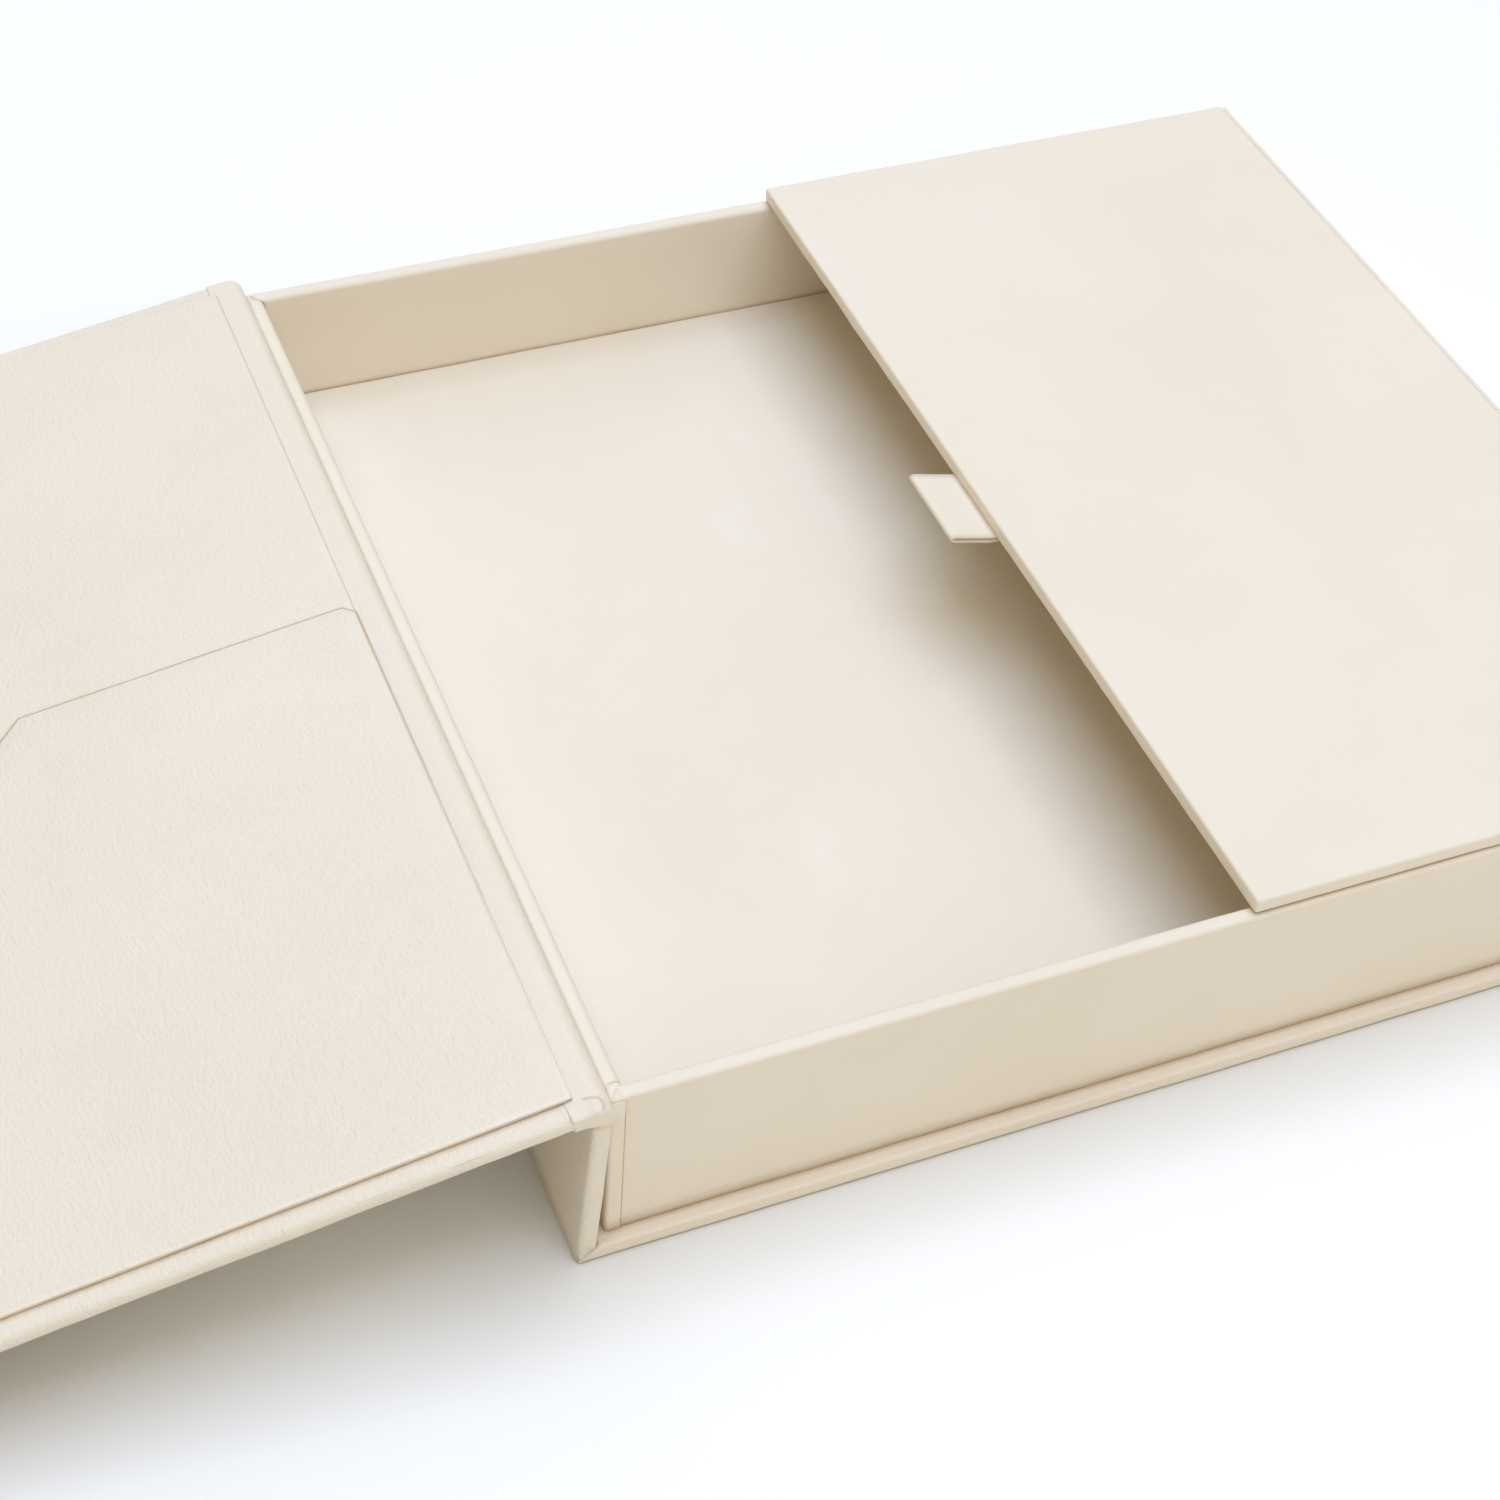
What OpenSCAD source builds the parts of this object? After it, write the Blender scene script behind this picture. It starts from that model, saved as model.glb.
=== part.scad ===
// Clamshell book box: a wrapped case of base, spine and cover, a shallow tray
// glued to the base, a half lid hinged on the fore edge and a pocket in the cover.
// X runs from the spine to the fore edge, Y from the near side to the far side.
// It stands at rest as it lies open: spine leaning on the tray, cover folded back.

/* [Board and covering] */
// Thickness of the grey board in every panel
board_t = 3; // [2:0.1:4]
// Thickness of the leatherette with its glue
wrap_t = 0.6; // [0.4:0.05:0.8]
// Thickness of the lining inside the base and spine
lining_t = 0.6; // [0.4:0.05:0.6]
// Width of the covering turned in over a board's inner face
turn_in = 15; // [10:1:20]
// Radius of a wrapped edge
edge_r = 1.4; // [1:0.1:1.5]

/* [Tray] */
// Outer width of the tray, spine side to fore edge
tray_w = 307; // [240:1:360]
// Outer depth of the tray, near side to far side
tray_d = 292.6; // [200:0.2:360]
// Height of the tray's walls above the base
wall_h = 46.6; // [36:0.2:70]
// Foam pad that raises the floor
pad_t = 7.4; // [3:0.2:12]
// Card under the floor lining
floor_card_t = 1.2; // [0.8:0.1:2]
// Play of the floor pad and card inside the walls
floor_play = 0.3; // [0.1:0.1:1]
// How far the side walls' covering laps round each corner
corner_lap = 3.5; // [2.8:0.1:12]
// Open seam between two sheets of covering
seam_gap = 0.3; // [0.2:0.05:0.5]

/* [Case] */
// How far the base and cover stand beyond the tray
square_out = 3.7; // [2:0.1:6]
// From the case's left edge to the tray's left wall
spine_room = 7.6; // [7.2:0.1:10]
// How far the foot joint's strip reaches along the base and up the spine
foot_reach = 5; // [3:0.5:8]
// Gap left between the tray's wall and the spine that leans on it
lean_gap = 0.45; // [0.3:0.05:1]
// Gap between the top of the spine and the cover that turns over it
spine_gap = 0.9; // [0.7:0.1:2]
// How far below the rims the open cover's outer face seats, at its hinge
seat_drop = 1.4; // [0.8:0.1:3]
// How far the closed cover's hinge edge stays in from the case's left edge
cover_set = 0.8; // [0.4:0.1:1.2]
// How far the cover reaches past its hinge line towards the tray, open
hinge_reach = 1.85; // [1.2:0.05:2.4]
// Room left between the closed cover and the half lid
closing_gap = 0.4; // [0.3:0.1:2]

/* [Cover panel and pocket] */
// Border between the lining panel and the cover's edges
panel_border = 5; // [3:0.5:10]
// Thickness of the lining panel
panel_t = 0.8; // [0.5:0.1:1.2]
// Thickness of the pocket's sheet
pocket_t = 0.7; // [0.5:0.1:1]
// Thickness of the hem folded under the pocket's edges
hem_t = 0.5; // [0.3:0.1:0.8]
// Width of that hem
hem_w = 8; // [5:1:15]
// Depth of the pocket from the lining panel's near edge
pocket_d = 158.4; // [100:0.2:180]
// Width of the finger cut in the pocket's edge
cut_w = 140; // [20:1:180]
// Depth of the finger cut
cut_d = 14; // [8:1:20]

/* [Half lid and tab] */
// Width of the half lid
lid_w = 151.4; // [100:0.2:170]
// How far the half lid's ends stay inside the tray's walls
lid_inset = 0.8; // [0.4:0.1:2]
// Gap between the half lid and the tray's rims
lid_gap = 0.5; // [0.4:0.1:1]
// Room for the hinge strip between the lid's edge and the wall's outer face
hinge_room = 1; // [0.8:0.1:1.6]
// How far the hinge strip reaches down the fore-edge wall
strip_drop = 22; // [15:1:30]
// Width of the pull tab
tab_w = 26; // [18:1:40]
// Length of the tab beyond the lid's edge
tab_out = 13; // [8:0.5:20]
// Length of the tab glued under the lid
tab_tail = 18; // [12:1:30]
// Thickness of each of the tab's two layers
tab_t = 0.7; // [0.5:0.1:0.9]
// Slit between the tab's two layers
tab_slit = 0.5; // [0.4:0.1:1]
// Lift of the tab above level, in degrees
tab_lift = 15; // [5:1:20]
// How far the tab sits towards the far side of the middle
tab_shift = 2; // [-10:1:10]

/* [Hidden] */
$fn = 48;

leather = [0.94, 0.91, 0.86];
paper = [0.93, 0.90, 0.84];
grey = [0.62, 0.58, 0.52];

// A board covered on both faces, and the case made from such boards.
panel_full_t = board_t + 2 * wrap_t;
case_d = tray_d + 2 * square_out;
case_w = spine_room + tray_w + square_out;
half_d = case_d / 2;

// The tray stands on the base.
tray_x0 = spine_room;
tray_x1 = spine_room + tray_w;
half_tray = tray_d / 2;
rim_z = panel_full_t + wall_h;
well_x0 = tray_x0 + panel_full_t;
well_x1 = tray_x1 - panel_full_t;
half_well = half_tray - panel_full_t;
bottom_z = panel_full_t + board_t;
card_z = bottom_z + pad_t;
floor_z = card_z + floor_card_t + wrap_t;

// The half lid lies on the rims and hinges on the fore-edge wall.
lid_x1 = tray_x1 - hinge_room;
lid_x0 = lid_x1 - lid_w;
lid_z0 = rim_z + lid_gap;
lid_top = lid_z0 + panel_full_t;
half_lid = half_tray - lid_inset;
lid_pivot = [tray_x1 + 0.3, rim_z + 0.1];

// The spine turns about the case's lower left corner. Its own frame has the
// outer face at x = 0 and the foot at z = 0, before it leans on the tray:
// (thickness) cos(lean) + (height) sin(lean) = room up to the tray's wall.
cover_seat = rim_z - seat_drop;
spine_t = board_t + wrap_t + lining_t;
spine_h = cover_seat - spine_gap;
lean = asin((spine_room - lean_gap) / norm([spine_t, spine_h])) - atan(spine_t / spine_h);

// The cover turns about a line above the spine. Open, its outer face lies
// cover_drop below that line, and closed it lies as far above it.
stack_t = panel_t + hem_t + pocket_t;
closed_top = lid_top + closing_gap + stack_t + panel_full_t;
cover_pivot = [cover_set + hinge_reach, (closed_top + cover_seat) / 2];
cover_drop = (closed_top - cover_seat) / 2;
cover_w = case_w - cover_set;

// The open cover tips until the rounded lower corner of its free edge meets
// the table: (reach) sin(tilt) + (drop) cos(tilt) = height of the pivot.
tip_reach = cover_w - hinge_reach - edge_r;
tip_drop = cover_drop - edge_r;
tilt = asin((cover_pivot[1] - edge_r) / norm([tip_reach, tip_drop])) - atan(tip_drop / tip_reach);

// Turning a point (x, z) about the Y axis, as rotate([0, a, 0]) does.
function turned(p, a) = [p[0] * cos(a) + p[1] * sin(a), p[1] * cos(a) - p[0] * sin(a)];
function spine_point(x, z) = turned([x, z], lean);
function cover_point(u, w) = cover_pivot + turned([hinge_reach - u, w - cover_drop], -tilt);

// Points along a cubic curve from a to d that leaves towards b and arrives from c.
function curve(a, b, c, d, n = 10) = [
    for (i = [0 : n])
        let (t = i / n, s = 1 - t)
        s * s * s * a + 3 * s * s * t * b + 3 * s * t * t * c + t * t * t * d
];
function unit(v) = v / norm(v);
function side(path, i) =
    let (v = path[min(i + 1, len(path) - 1)] - path[max(i - 1, 0)])
    unit([-v[1], v[0]]);
function offset_path(path, t) = [for (i = [0 : len(path) - 1]) path[i] + t * side(path, i)];
function reversed(path) = [for (i = [len(path) - 1 : -1 : 0]) path[i]];

// A sheet of thickness t whose left-hand face follows the path.
module sheet_profile(path, t) {
    polygon(concat(path, reversed(offset_path(path, t))));
}

// A rectangle from the origin, with rounded corners on the sides asked for.
module soft_rect(w, h, r, left = true, right = true) {
    x0 = left ? r : 0;
    x1 = right ? w - r : w;
    translate([x0, 0]) square([x1 - x0, h]);
    if (left) {
        translate([0, r]) square([r, h - 2 * r]);
        for (y = [r, h - r]) translate([r, y]) circle(r);
    }
    if (right) {
        translate([w - r, r]) square([r, h - 2 * r]);
        for (y = [r, h - r]) translate([w - r, y]) circle(r);
    }
}

// A rectangle whose upper corners only are rounded.
module rim_rect(w, h, r) {
    square([w, h - r]);
    translate([r, h - r]) square([w - 2 * r, r]);
    for (x = [r, w - r]) translate([x, h - r]) circle(r);
}

// Extrudes an X-Z profile along Y, centred, and a Y-Z profile along +X.
module along_y(d) {
    translate([0, d / 2, 0]) rotate([90, 0, 0]) linear_extrude(d) children();
}
module along_x(w) {
    rotate([90, 0, 90]) linear_extrude(w) children();
}

// A covered panel: x from 0 to w, y centred, z from the outer face at 0 to t.
module covered_panel(w, d, t, left = true, right = true) {
    intersection() {
        along_y(d) soft_rect(w, t, edge_r, left, right);
        translate([0, -d / 2, 0]) along_x(w) soft_rect(d, t, edge_r);
        translate([0, -d / 2, 0]) linear_extrude(t) soft_rect(w, d, edge_r, left, right);
    }
}

// The covering alone: the panel less its board and the window between the
// turn-ins. The sides in open_left and open_right carry no turned edge.
module covering(w, d, t, left = true, right = true) {
    bx0 = left ? wrap_t : -1;
    bx1 = right ? w - wrap_t : w + 1;
    wx0 = left ? turn_in : -1;
    wx1 = right ? w - turn_in : w + 1;
    difference() {
        covered_panel(w, d, t, left, right);
        translate([bx0, wrap_t - d / 2, wrap_t]) cube([bx1 - bx0, d - 2 * wrap_t, board_t]);
        translate([wx0, turn_in - d / 2, wrap_t + board_t / 2])
            cube([wx1 - wx0, d - 2 * turn_in, t]);
    }
}

module on_spine() {
    rotate([0, lean, 0]) children();
}
module on_cover() {
    translate([cover_pivot[0], 0, cover_pivot[1]]) rotate([0, -tilt, 0])
        translate([hinge_reach, 0, -cover_drop]) mirror([1, 0, 0]) children();
}
// The part's origin is the middle of the base's underside.
module placed() {
    translate([-case_w / 2, 0, 0]) children();
}

// The base: its left edge is mitred against the foot of the spine.
module mitre_cut() {
    along_y(case_d + 2) polygon([[-1, -1], [seam_gap, -1], [seam_gap, 0],
        [panel_full_t + seam_gap, panel_full_t], [panel_full_t + seam_gap, 9], [-1, 9]]);
}
module base_panel_space() {
    translate([wrap_t + seam_gap, wrap_t - half_d, wrap_t])
        cube([case_w - 2 * wrap_t - seam_gap, case_d - 2 * wrap_t, board_t]);
}
module base_board() {
    color(grey) placed() difference() {
        base_panel_space();
        mitre_cut();
    }
}
module base_wrap() {
    color(leather) placed() difference() {
        covering(case_w, case_d, panel_full_t, left = false);
        mitre_cut();
        translate([-1, -half_d - 1, -1]) cube([foot_reach + 1, case_d + 2, wrap_t + 1]);
    }
}

// The lining of the base fills the window between the turn-ins, under the tray.
module base_lining() {
    color(paper) placed() difference() {
        translate([0, turn_in - half_d, panel_full_t - lining_t])
            cube([case_w - turn_in, case_d - 2 * turn_in, lining_t]);
        mitre_cut();
    }
}

// The tray's boards: near and far run the full width, the sides fit between.
module wall_board(x0, y0, w, d) {
    color(grey) placed() translate([x0, y0, panel_full_t]) cube([w, d, wall_h - wrap_t]);
}
module wall_board_near() {
    wall_board(tray_x0 + wrap_t, wrap_t - half_tray, tray_w - 2 * wrap_t, board_t);
}
module wall_board_far() {
    wall_board(tray_x0 + wrap_t, half_tray - wrap_t - board_t, tray_w - 2 * wrap_t, board_t);
}
module wall_board_left() {
    wall_board(tray_x0 + wrap_t, -half_well - wrap_t, board_t, 2 * (half_well + wrap_t));
}
module wall_board_right() {
    wall_board(well_x1 + wrap_t, -half_well - wrap_t, board_t, 2 * (half_well + wrap_t));
}
module tray_bottom_board() {
    color(grey) placed() translate([well_x0 - wrap_t, -half_well - wrap_t, panel_full_t])
        cube([well_x1 - well_x0 + 2 * wrap_t, 2 * (half_well + wrap_t), board_t]);
}

// All the tray's covering as one ring, cut into four sheets below.
module tray_skin() {
    difference() {
        translate([tray_x0, 0, panel_full_t]) intersection() {
            along_y(tray_d) rim_rect(tray_w, wall_h, edge_r);
            translate([0, -half_tray, 0]) along_x(tray_w) rim_rect(tray_d, wall_h, edge_r);
            translate([0, -half_tray, 0]) linear_extrude(wall_h) soft_rect(tray_w, tray_d, edge_r);
        }
        difference() {
            translate([tray_x0 + wrap_t, wrap_t - half_tray, 0])
                cube([tray_w - 2 * wrap_t, tray_d - 2 * wrap_t, rim_z - wrap_t]);
            translate([well_x0 - wrap_t, -half_well - wrap_t, bottom_z])
                cube([well_x1 - well_x0 + 2 * wrap_t, 2 * (half_well + wrap_t), rim_z]);
        }
        translate([well_x0, -half_well, 0])
            cube([well_x1 - well_x0, 2 * half_well, rim_z + 1]);
    }
}
// The plan of the near sheet: mitred to the inner corners.
module near_plan() {
    polygon([[tray_x0, -half_tray], [tray_x1, -half_tray],
        [well_x1, -half_well], [well_x0, -half_well]]);
}
// The plan of the left sheet.
module left_plan() {
    polygon([[tray_x0, half_tray], [tray_x0, -half_tray],
        [well_x0, -half_well], [well_x0, half_well]]);
}
// The stretch of the near wall's outer face that the side sheets lap over.
module lap_zone(extra) {
    for (x = [tray_x0 - 1, tray_x1 - corner_lap - extra])
        translate([x, -half_tray - 1, 0])
            cube([corner_lap + extra + 1, wrap_t + 1, rim_z - edge_r - wrap_t]);
}
module wall_wrap_near() {
    color(leather) placed() difference() {
        intersection() {
            tray_skin();
            linear_extrude(rim_z + 1) near_plan();
        }
        lap_zone(seam_gap);
    }
}
module wall_wrap_far() {
    mirror([0, 1, 0]) wall_wrap_near();
}
module side_sheet() {
    intersection() {
        tray_skin();
        union() {
            linear_extrude(rim_z + 1) left_plan();
            intersection() {
                translate([0, -case_d, 0]) cube([case_w / 2, 2 * case_d, rim_z]);
                union() {
                    lap_zone(0);
                    mirror([0, 1, 0]) lap_zone(0);
                }
            }
        }
    }
}
module wall_wrap_left() {
    color(leather) placed() side_sheet();
}
module wall_wrap_right() {
    color(leather) placed() translate([tray_x0 + tray_x1, 0, 0]) mirror([1, 0, 0]) side_sheet();
}

// The raised floor: a foam pad, a card and the lining over it.
module floor_layer(z, t) {
    translate([well_x0 + floor_play, floor_play - half_well, z])
        cube([well_x1 - well_x0 - 2 * floor_play, 2 * (half_well - floor_play), t]);
}
module floor_pad() {
    color("gainsboro") placed() floor_layer(bottom_z, pad_t);
}
module floor_card() {
    color(grey) placed() floor_layer(card_z, floor_card_t);
}
module floor_lining() {
    color(paper) placed() floor_layer(card_z + floor_card_t, wrap_t);
}

// The spine: covered outside and round its ends, lined inside, foot mitred.
module spine_cut() {
    rise = (spine_t + 1) * tan(46 + lean);
    along_y(case_d + 2) polygon([[-1, -1], [9, -1], [9, rise + seam_gap],
        [spine_t + 1 + seam_gap, rise + seam_gap], [seam_gap, seam_gap], [-1, seam_gap]]);
}
module spine_outline() {
    translate([0, -half_d, 0]) cube([spine_t, case_d, spine_h]);
}
module spine_board() {
    color(grey) placed() on_spine() difference() {
        translate([wrap_t, wrap_t - half_d, 0]) cube([board_t, case_d - 2 * wrap_t, spine_h]);
        spine_cut();
    }
}
module spine_wrap() {
    color(leather) placed() on_spine() difference() {
        intersection() {
            spine_outline();
            linear_extrude(spine_h) translate([0, -half_d]) soft_rect(spine_t, case_d, edge_r);
        }
        translate([wrap_t, wrap_t - half_d, -1]) cube([spine_t, case_d - 2 * wrap_t, spine_h + 2]);
        translate([-1, -half_d - 1, -1]) cube([wrap_t + 1, case_d + 2, foot_reach + 1]);
        spine_cut();
    }
}
module spine_lining() {
    color(paper) placed() on_spine() difference() {
        translate([wrap_t + board_t, wrap_t - half_d, 0])
            cube([lining_t, case_d - 2 * wrap_t, spine_h]);
        spine_cut();
    }
}
// The covering that turns the lower left corner between base and spine.
module spine_foot_joint() {
    color(leather) placed() along_y(case_d - 2 * edge_r) polygon([
        [foot_reach, 0],
        [foot_reach, wrap_t],
        spine_point(wrap_t, wrap_t),
        spine_point(wrap_t, foot_reach),
        spine_point(0, foot_reach),
        spine_point(0, seam_gap),
        [seam_gap, 0]
    ]);
}

// The cover, its lining panel and the pocket, in the cover's own frame:
// x from the hinge to the free edge, z from the outer face to the inner.
module cover_board() {
    color(grey) placed() on_cover() translate([0, wrap_t - half_d, wrap_t])
        cube([cover_w - wrap_t, case_d - 2 * wrap_t, board_t]);
}
module cover_wrap() {
    color(leather) placed() on_cover() covering(cover_w, case_d, panel_full_t, left = false);
}
module panel_plan(inset) {
    translate([panel_border + inset, panel_border + inset - half_d])
        square([cover_w - 2 * (panel_border + inset), case_d - 2 * (panel_border + inset)]);
}
module cover_lining() {
    color(paper) placed() on_cover() {
        translate([0, 0, panel_full_t]) linear_extrude(panel_t) panel_plan(0);
        translate([turn_in, turn_in - half_d, wrap_t + board_t])
            cube([cover_w - 2 * turn_in, case_d - 2 * turn_in, wrap_t]);
    }
}
// The pocket's outline, from the panel's near edge up to its own top edge.
module pocket_plan() {
    w = cover_w - 2 * panel_border;
    difference() {
        translate([panel_border, panel_border - half_d]) square([w, pocket_d]);
        translate([panel_border + w / 2, panel_border - half_d + pocket_d]) polygon([
            [-cut_w / 2, 1], [-cut_w / 2, 0], [-cut_w / 2 + cut_d, -cut_d],
            [cut_w / 2 - cut_d, -cut_d], [cut_w / 2, 0], [cut_w / 2, 1]
        ]);
    }
}
module pocket_sheet() {
    color(leather) placed() on_cover() translate([0, 0, panel_full_t + panel_t]) {
        translate([0, 0, hem_t]) linear_extrude(pocket_t) pocket_plan();
        linear_extrude(hem_t) difference() {
            pocket_plan();
            translate([panel_border + hem_w, panel_border + hem_w - half_d])
                square([cover_w - 2 * (panel_border + hem_w), pocket_d]);
        }
    }
}

// The joints between spine and cover: the outer covering in the fold below,
// and the inner strip, glued on the cover, that rolls down to the spine's lining.
module cover_joint_outer() {
    top = spine_point(0, spine_h);
    reach = cover_point(0, 0)[0] - top[0];
    color(leather) placed() along_y(case_d - 2 * edge_r) polygon([
        spine_point(0.1, spine_h + 0.05),
        spine_point(wrap_t + 0.2, spine_h + 0.05),
        cover_point(reach - wrap_t, -0.05),
        cover_point(reach + 0.4, -0.05)
    ]);
}
module cover_joint_inner() {
    foot = spine_point(spine_t, spine_h + 0.1);
    edge = cover_point(-0.1, panel_full_t);
    roll = curve(foot, foot + [0.13, 2.1], edge + 2.4 * [cos(tilt), sin(tilt)], edge, 12);
    color(leather) placed() {
        along_y(case_d - 2 * wrap_t) sheet_profile(roll, lining_t);
        on_cover() translate([-0.25, turn_in - half_d, panel_full_t - lining_t])
            cube([turn_in + 0.25, case_d - 2 * turn_in, lining_t]);
    }
}

// The half lid: a covered board lined below, its hinge strip and its tab.
module lid_frame() {
    translate([lid_x0, 0, lid_z0]) children();
}
module lid_board() {
    color(grey) placed() lid_frame() translate([wrap_t, wrap_t - half_lid, wrap_t])
        cube([lid_w - 2 * wrap_t, 2 * (half_lid - wrap_t), board_t]);
}
module lid_wrap() {
    color(leather) placed() lid_frame() translate([0, 0, panel_full_t]) mirror([0, 0, 1])
        covering(lid_w, 2 * half_lid, panel_full_t);
}
module lid_lining() {
    color(paper) placed() lid_frame() translate([turn_in, turn_in - half_lid, 0])
        cube([lid_w - 2 * turn_in, 2 * (half_lid - turn_in), wrap_t]);
}
module lid_hinge_strip() {
    color(leather) placed() along_y(2 * (half_lid - edge_r)) polygon([
        [tray_x1, rim_z - strip_drop],
        [tray_x1 + wrap_t, rim_z - strip_drop],
        [tray_x1 + wrap_t, lid_top - edge_r],
        [tray_x1 + wrap_t - 0.3, lid_top - 0.5],
        [lid_x1, lid_top - edge_r + 0.4],
        [lid_x1, lid_z0 + edge_r],
        [tray_x1, lid_z0 + edge_r - 0.3]
    ]);
}
// A loop of covering folded on itself: the tail is glued under the lid and
// the loop bends up past the lid's edge.
module pull_tab() {
    t = 2 * tab_t + tab_slit;
    bend_x = lid_x0 - 1;
    color(leather) placed() translate([0, tab_shift, 0]) {
        translate([bend_x, -tab_w / 2, lid_z0 - 2 * tab_t])
            cube([tab_tail, tab_w, 2 * tab_t]);
        translate([bend_x, 0, lid_z0 - 2 * tab_t]) rotate([0, tab_lift, 0]) difference() {
            translate([-tab_out, -tab_w / 2, 0]) along_x_slab(tab_out, tab_w, t);
            translate([-tab_out + t / 2, -tab_w, tab_t]) cube([tab_out - t / 2 - 1.5, 2 * tab_w, tab_slit]);
            translate([-tab_out + t / 2, tab_w, t / 2]) rotate([90, 0, 0])
                cylinder(d = tab_slit, h = 2 * tab_w);
        }
    }
}
// A slab with a round nose at x = 0.
module along_x_slab(w, d, t) {
    translate([t / 2, 0, 0]) cube([w - t / 2, d, t]);
    translate([t / 2, d, t / 2]) rotate([90, 0, 0]) cylinder(d = t, h = d);
}

base_board();
base_wrap();
base_lining();
tray_bottom_board();
wall_board_near();
wall_board_far();
wall_board_left();
wall_board_right();
wall_wrap_near();
wall_wrap_far();
wall_wrap_left();
wall_wrap_right();
floor_pad();
floor_card();
floor_lining();
spine_board();
spine_wrap();
spine_lining();
spine_foot_joint();
cover_board();
cover_wrap();
cover_lining();
pocket_sheet();
cover_joint_outer();
cover_joint_inner();
lid_board();
lid_wrap();
lid_lining();
lid_hinge_strip();
pull_tab();
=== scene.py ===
# %% [markdown]
# # A clamshell book box in ivory leatherette
# The box is a bookbinder's piece: grey boards covered with leatherette, a tray
# glued on the base, a half lid over the tray, and a cover with a pocket inside.
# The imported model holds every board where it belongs. This script dresses it:
# each sheet of covering is made again as a thin skin with soft, slightly uneven
# edges, because that is what tells covered board from a plain block.

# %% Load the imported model
import math
import bpy
import bmesh
from mathutils import Matrix, Vector, noise


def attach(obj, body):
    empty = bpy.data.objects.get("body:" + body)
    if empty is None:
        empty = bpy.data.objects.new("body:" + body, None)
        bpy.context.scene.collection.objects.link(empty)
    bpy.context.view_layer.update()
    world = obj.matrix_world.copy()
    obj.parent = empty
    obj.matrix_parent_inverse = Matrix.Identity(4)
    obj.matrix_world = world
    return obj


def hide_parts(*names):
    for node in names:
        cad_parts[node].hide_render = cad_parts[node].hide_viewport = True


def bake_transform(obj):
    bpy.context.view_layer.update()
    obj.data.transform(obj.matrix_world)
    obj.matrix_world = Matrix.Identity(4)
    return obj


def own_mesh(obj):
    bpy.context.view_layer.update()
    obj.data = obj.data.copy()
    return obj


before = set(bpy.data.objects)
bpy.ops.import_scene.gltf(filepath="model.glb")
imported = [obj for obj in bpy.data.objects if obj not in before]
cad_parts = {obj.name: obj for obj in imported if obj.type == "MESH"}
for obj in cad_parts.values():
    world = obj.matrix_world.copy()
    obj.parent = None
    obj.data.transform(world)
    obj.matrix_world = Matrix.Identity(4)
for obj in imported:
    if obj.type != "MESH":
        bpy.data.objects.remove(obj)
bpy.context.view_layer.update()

# %% [markdown]
# ## The box's own sizes
# A bookbinder works in millimetres, and so do the next cells. The numbers are
# those of the construction drawing, measured from the lower left edge of the
# case: x runs to the fore edge, y from the middle, z up from the table.

# %% Sizes in millimetres
case_w, case_d = 318.3, 300.0
panel_t, wrap_t, turn_in = 4.2, 0.6, 15.0
edge_r, cover_edge_r, rim_outer_r, rim_inner_r = 0.8, 1.9, 1.0, 1.6
tray_x0, tray_x1, half_tray = 7.6, 314.6, 146.3
well_x0, well_x1, half_well = 11.8, 310.4, 142.1
rim_z, floor_z = 50.8, 16.4
lid_x0, lid_x1, half_lid = 162.2, 313.6, 145.5
lid_z0, lid_top = 51.3, 55.5
cover_w, panel_border, cover_panel_t = 317.5, 5.0, 0.8
pocket_d, pocket_t, cut_w, cut_d = 158.4, 1.2, 140.0, 14.0
spine_t, spine_h, foot_reach, foot_gap = 4.2, 48.5, 1.5, -0.04
cloth_reach, cloth_proud = 7.0, 0.12
lean, tilt = 3.49641, 9.05578
pivot_in_case, pivot_in_cover = Vector((2.65, 0, 55.75)), Vector((-1.85, 0, 6.35))
print("case", case_w, "x", case_d, "mm, rim at", rim_z)

# %% [markdown]
# ## Three places to build in
# The spine leans on the tray and the open cover slopes down to the table, so a
# skin for them is easiest to make flat and then carry to its place. Each place
# is one matrix that ends in metres. In the cover's place x runs from the hinge
# at 0 to the free edge at -317.5, and z from the outer face up to the inner.

# %% The places
case_place = Matrix.Scale(0.001, 4) @ Matrix.Translation((-case_w / 2, 0, 0))
spine_place = case_place @ Matrix.Rotation(math.radians(lean), 4, "Y")
cover_place = (
    case_place
    @ Matrix.Translation(pivot_in_case)
    @ Matrix.Rotation(math.radians(-tilt), 4, "Y")
    @ Matrix.Translation(-pivot_in_cover)
)


def case_point(place, x, z):
    """A point of another place, as x and z in the case's millimetres."""
    point = case_place.inverted() @ place @ Vector((x, 0, z))
    return Vector((point.x, point.z))


print("spine's top:", case_point(spine_place, 0, spine_h))

# %% [markdown]
# ## Tools for covered board
# Every skin starts as a block of the covered size. Its edges are rounded with a
# bevel, planes cut it into a fine net, and the net is pushed in and out by a
# tenth of a millimetre, which is how glue and board show through a covering.

# %% Blocks, rounded edges and cuts
def block(x, y, z):
    bm = bmesh.new()
    bmesh.ops.create_cube(bm, size=1.0)
    size = Vector((x[1] - x[0], y[1] - y[0], z[1] - z[0]))
    middle = Vector((x[0] + x[1], y[0] + y[1], z[0] + z[1])) / 2
    bmesh.ops.scale(bm, vec=size, verts=bm.verts)
    bmesh.ops.translate(bm, vec=middle, verts=bm.verts)
    bm.normal_update()
    return bm


def facing(bm, axis, sign):
    """The faces that look along an axis, 0 for x, 1 for y and 2 for z."""
    return [f for f in bm.faces if f.normal[axis] * sign > 0.99]


def drop(bm, faces):
    bmesh.ops.delete(bm, geom=faces, context="FACES")


def new_verts(geom):
    """The corners among what an extrusion has made."""
    return [v for v in geom if isinstance(v, bmesh.types.BMVert)]


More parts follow.
